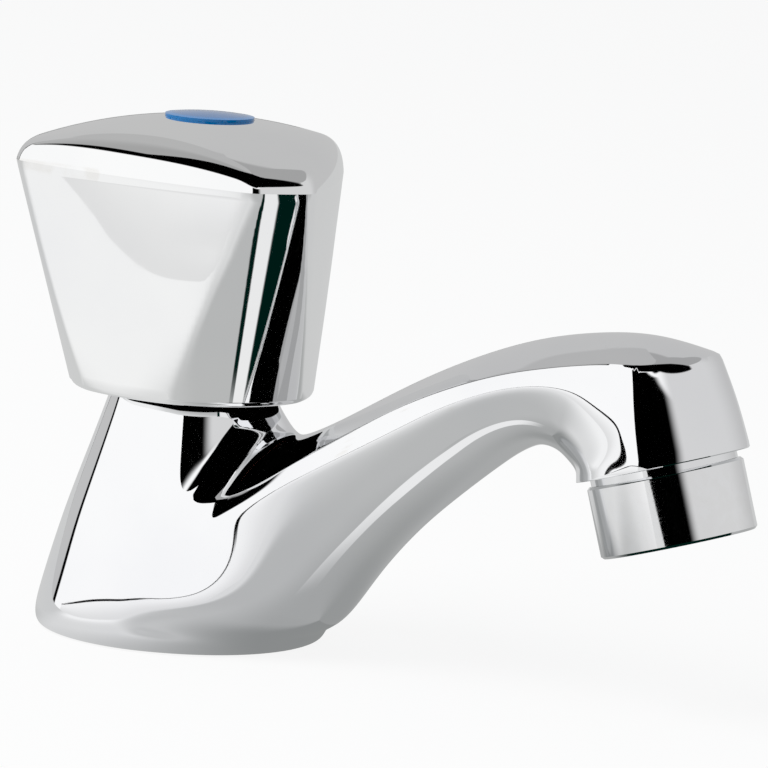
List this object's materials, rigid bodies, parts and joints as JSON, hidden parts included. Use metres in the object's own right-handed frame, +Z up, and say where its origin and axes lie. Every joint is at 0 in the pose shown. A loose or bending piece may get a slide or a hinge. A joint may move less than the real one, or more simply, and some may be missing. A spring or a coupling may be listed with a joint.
{
  "type": "basin pillar tap",
  "caption": "Single pillar tap for a basin with a three-sided turning handle, a blue cold disc, a rising curved spout and a threaded tail with its fixings.",
  "frame": {"origin": "centre of the base where it rests on the deck", "axes": "+X from the column along the spout towards the outlet, +Z up along the handle's axis"},
  "size_m": [0.1275, 0.0539, 0.1315],
  "materials": {
    "chrome_body": "polished chrome plate",
    "chrome_handle": "polished chrome plate",
    "chrome_aerator": "polished chrome plate",
    "blue_disc": "clear blue, glossy",
    "bush_plastic": "natural white",
    "screw_steel": "stainless",
    "clip_steel": "spring steel",
    "brass_headwork": "turned brass",
    "screw_brass": "turned brass",
    "brass_tail": "turned brass",
    "brass_nut": "pressed brass",
    "seal_rubber": "black rubber",
    "seal_fibre": "red fibre",
    "clamp_rubber": "black rubber",
    "aerator_plastic": "white plastic",
    "screen_steel": "fine stainless net",
    "clamp_steel": "zinc plated"
  },
  "bodies": {
    "tap": {"body": "chrome_body", "bonnet": "brass_headwork", "bonnet_seal": "seal_fibre", "valve_seat": "brass_headwork", "aerator_housing": "chrome_aerator", "aerator_seal": "seal_rubber", "aerator_insert": "aerator_plastic", "aerator_plate": "aerator_plastic", "aerator_screen": "screen_steel", "base_seal": "seal_rubber", "tail": "brass_tail", "clamp_rubber": "clamp_rubber", "clamp_plate": "clamp_steel", "back_nut": "brass_nut"},
    "handle_turning": {"handle": "chrome_handle", "index_button": "blue_disc", "spline_bush": "bush_plastic", "handle_screw": "screw_steel", "spindle": "brass_headwork", "spindle_clip": "clip_steel", "spindle_rings": "seal_rubber"},
    "valve": {"valve_carrier": "brass_headwork", "seat_washer": "seal_rubber", "washer_screw": "screw_brass"}
  },
  "joints": [
    {"name": "handle_turn", "type": "hinge", "parent": "tap", "child": "handle_turning", "pos_m": [0, 0, 0.0391], "axis": [0, 0, 1], "range_deg": [0, 540]},
    {"name": "valve_lift", "type": "slide", "parent": "tap", "child": "valve", "axis": [0, 0, 1], "range_m": [0, 0.0045]}
  ],
  "couplings": [
    {"joint": "valve_lift", "follows": "handle_turn", "m_per_rad": 0.00047746}
  ]
}
